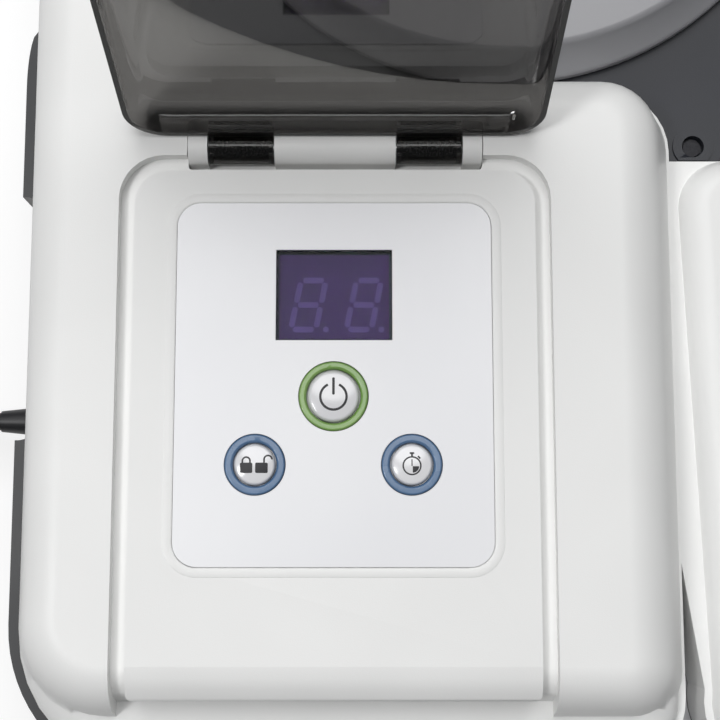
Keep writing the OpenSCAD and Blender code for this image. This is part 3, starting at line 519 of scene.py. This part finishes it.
def digit(middle):
    """The seven unlit bars of a digit, and its point."""
    lean = math.radians(11.5)
    half_w, half_h = 4.2 * MM, 8.4 * MM
    bar_wide, bar_gap = 1.9 * MM, 1.2 * MM
    point_radius, point_gap, point_bevel = 1.0 * MM, 1.7 * MM, 0.03 * MM
    bars = []
    for row in (-1, 0, 1):
        y = row * half_h
        bars.append(bar(2 * half_w - bar_gap, bar_wide,
                        (middle[0] + y * math.tan(lean), middle[1] + y, digit_z), 0))
    for side in (-1, 1):
        for row in (-0.5, 0.5):
            y = row * half_h
            bars.append(bar(half_h - bar_gap, bar_wide,
                            (middle[0] + side * half_w + y * math.tan(lean), middle[1] + y, digit_z),
                            math.pi / 2 - lean))
    lay_down()
    bpy.ops.mesh.primitive_cylinder_add(
        vertices=24, radius=point_radius, depth=BAR_TALL,
        location=(middle[0] + half_w + point_gap, middle[1] - half_h, digit_z + BAR_TALL / 2))
    point = bpy.context.active_object
    fit(point, "BEVEL", width=point_bevel, segments=1)
    return bars + [point]


digits = join(*[b for x in digit_offsets for b in digit((module_middle[0] + x, digit_y))])
settle(digits, "digit_bars", "root", segment_lilac, slot="part_black")


# ---- Signs on the caps ----
PRINT_THICK = 0.00003


def band(outer, inner, place, gap=0.0):
    """A flat ring, open at the back over the gap's angle."""
    lay_down()
    bpy.ops.mesh.primitive_circle_add(vertices=72, radius=inner)
    piece = bpy.context.active_object
    choose(piece, lambda e: True, "EDGE")
    bpy.ops.mesh.extrude_edges_move()
    bpy.ops.transform.resize(value=(outer / inner, outer / inner, 1))
    close_edit()
    if gap:
        choose(piece, lambda f: abs(math.atan2(f.center.x, f.center.y)) < gap / 2)
        bpy.ops.mesh.delete(type="FACE")
        close_edit()
    piece.location = (*place, 0)
    apply_place(piece)
    return piece


def patch(wide, deep, place, turn=0.0, corner=0.0):
    """A flat rectangle, with its corners cut round where a size is given."""
    lay_down()
    bpy.ops.mesh.primitive_plane_add(size=1)
    piece = bpy.context.active_object
    piece.scale = (wide, deep, 1)
    apply_place(piece)
    if corner:
        choose(piece, lambda v: True, "VERT")
        bpy.ops.mesh.bevel(offset=corner, segments=4, affect="VERTICES")
        close_edit()
    piece.location = (*place, 0)
    piece.rotation_euler = (0, 0, turn)
    apply_place(piece)
    return piece


def pie(radius, start, end, place):
    """A sector of a disc, from the start angle to the end angle."""
    lay_down()
    bpy.ops.mesh.primitive_circle_add(vertices=56, radius=radius, fill_type="TRIFAN")
    piece = bpy.context.active_object
    choose(piece, lambda f: not start < math.atan2(f.center.y, f.center.x) < end)
    bpy.ops.mesh.delete(type="FACE")
    close_edit()
    piece.location = (*place, 0)
    apply_place(piece)
    return piece


def printed(name, marks, cap_node, slot_name):
    """Lays flat marks on a cap's dome as a thin print."""
    cap = made[cap_node]
    low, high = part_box(cap_node)
    above = 2 * MM
    middle = ((low[0] + high[0]) / 2, (low[1] + high[1]) / 2, high[2] + above)
    sign = join(*marks)
    fit(sign, "TRIANGULATE", min_vertices=4)
    choose(sign, lambda f: True)
    bpy.ops.mesh.subdivide(number_cuts=2)
    close_edit()
    sign.location = middle
    apply_place(sign)
    fit(sign, "SHRINKWRAP", target=cap, wrap_method="PROJECT", use_project_z=True,
        use_negative_direction=True, use_positive_direction=False, offset=PRINT_THICK)
    fit(sign, "SOLIDIFY", thickness=PRINT_THICK, offset=1)
    return settle(sign, name, body_of_node[cap_node], print_dark, slot=slot_name)


power_sign = [band(4.75 * MM, 3.95 * MM, (0, -0.2 * MM), math.radians(48)),
              patch(0.85 * MM, 5.8 * MM, (0, 3.3 * MM), corner=0.3 * MM)]
printed("power_sign", power_sign, "power_button", "button_white")


def padlock(x, opened):
    """A padlock; the open one's bow stands higher and to the right, on one leg."""
    body = patch(4.1 * MM, 3.4 * MM, (x, -1.1 * MM), corner=0.45 * MM)
    aside, lift = (2.115 * MM, 0.55 * MM) if opened else (0, 0)
    outer, inner = 1.55 * MM, 1.0 * MM
    bow_y = 1.15 * MM + lift
    bow = band(outer, inner, (x + aside, bow_y))
    choose(bow, lambda f: f.center.y < bow_y)
    bpy.ops.mesh.delete(type="FACE")
    close_edit()
    leg_long, leg_y = 1.1 * MM + lift, 0.62 * MM + lift / 2
    legs = [patch(outer - inner, leg_long, (x + aside + s * (outer + inner) / 2, leg_y))
            for s in ((-1,) if opened else (-1, 1))]
    return [body, bow] + legs


locks = padlock(-2.75 * MM, False) + padlock(2.3 * MM, True)
printed("padlock_signs", locks, "lock_button", "button_white")

watch = [band(3.15 * MM, 2.65 * MM, (0, -0.4 * MM)),
         patch(1.5 * MM, 0.6 * MM, (0, 3.75 * MM), corner=0.12 * MM),
         patch(0.6 * MM, 0.8 * MM, (0, 3.1 * MM)),
         patch(1.1 * MM, 0.55 * MM, (2.35 * MM, 2.35 * MM), -math.pi / 4, 0.1 * MM),
         patch(0.35 * MM, 2.2 * MM, (0, 0.6 * MM)),
         pie(2.1 * MM, -math.pi / 2, 0.0, (0.25 * MM, -0.6 * MM))]
printed("stopwatch_sign", watch, "timer_button", "button_white")


# ---- Springs in the cover's knuckles ----
def coil_spring(middle):
    """A coil of round wire along the hinge's axis."""
    wire_radius, coil_radius, pitch, turns = 0.42 * MM, 2.42 * MM, 1.25 * MM, 13
    lay_down()
    bpy.ops.mesh.primitive_circle_add(vertices=10, radius=wire_radius,
                                      location=(coil_radius, 0, 0), rotation=(math.pi / 2, 0, 0))
    wire = bpy.context.active_object
    apply_place(wire)
    fit(wire, "SCREW", axis="Z", angle=2 * math.pi, screw_offset=pitch, iterations=turns, steps=22,
        render_steps=22, use_merge_vertices=True, merge_threshold=0.000001)
    wire.location = (middle[0] - pitch * turns / 2, middle[1], middle[2])
    wire.rotation_euler = (0, math.pi / 2, 0)
    apply_place(wire)
    choose(wire, lambda f: True)
    bpy.ops.mesh.normals_make_consistent(inside=False)
    close_edit()
    soften(wire, 60)
    return wire


pin_low, pin_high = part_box("hinge_pin")
pin_middle = (pin_low + pin_high) / 2
knuckle_away = 32.1 * MM      # from the pin's middle to each knuckle's
springs = join(*[coil_spring(pin_middle + Vector((side * knuckle_away, 0, 0))) for side in (-1, 1)])
settle(springs, "knuckle_springs", "root", steel, "hinge_springs", slot="steel")


# ---- Floor, world and lamps ----
def floor_finish():
    """A matt floor that looks nearly white to the camera and in glossy and clear pieces."""
    dark, light, seen_lift = (0.38, 0.38, 0.38), (0.42, 0.42, 0.42), 0.64
    material, tree, shader, coords = finish("pale floor")
    drift = grain(tree, coords, 3, 2.0)
    tree.links.new(tones(tree, drift, dark, light), shader.inputs["Base Color"])
    shader.inputs["Roughness"].default_value = 0.8
    path = tree.nodes.new("ShaderNodeLightPath")
    seen = path.outputs["Is Camera Ray"]
    for ray in ("Is Glossy Ray", "Is Transmission Ray"):
        either = tree.nodes.new("ShaderNodeMath")
        either.operation = "MAXIMUM"
        tree.links.new(seen, either.inputs[0])
        tree.links.new(path.outputs[ray], either.inputs[1])
        seen = either.outputs["Value"]
    lift = tree.nodes.new("ShaderNodeMath")
    lift.operation = "MULTIPLY"
    lift.inputs[1].default_value = seen_lift
    tree.links.new(seen, lift.inputs[0])
    shader.inputs["Emission Color"].default_value = (1, 1, 1, 1)
    tree.links.new(lift.outputs["Value"], shader.inputs["Emission Strength"])
    return material


lay_down()
bpy.ops.mesh.primitive_plane_add(size=8)
floor = bpy.context.active_object
floor.name = "floor"
floor.data.materials.append(floor_finish())

world = bpy.data.worlds.new("studio")
bpy.context.scene.world = world
world.use_nodes = True
sky = world.node_tree
glow = sky.nodes["Background"]
glow.inputs["Color"].default_value = (0.96, 0.98, 1.0, 1)
glow.inputs["Strength"].default_value = 0.15


def lamp(name, place, aim, size, power):
    """A round white lamp, aimed at a point; metres and watts."""
    lay_down()
    bpy.ops.object.light_add(type="AREA", location=place)
    light = bpy.context.active_object
    light.name = name
    light.data.shape = "DISK"
    light.data.size = size
    light.data.energy = power
    light.rotation_euler = (Vector(aim) - Vector(place)).to_track_quat("-Z", "Y").to_euler()


console_middle = (-0.05, -0.1, 0.1)
lamp("key", (-1.13, -0.39, 2.21), console_middle, 0.5, 16)
lamp("overhead", (-0.1, 0.75, 2.0), console_middle, 1.8, 29)
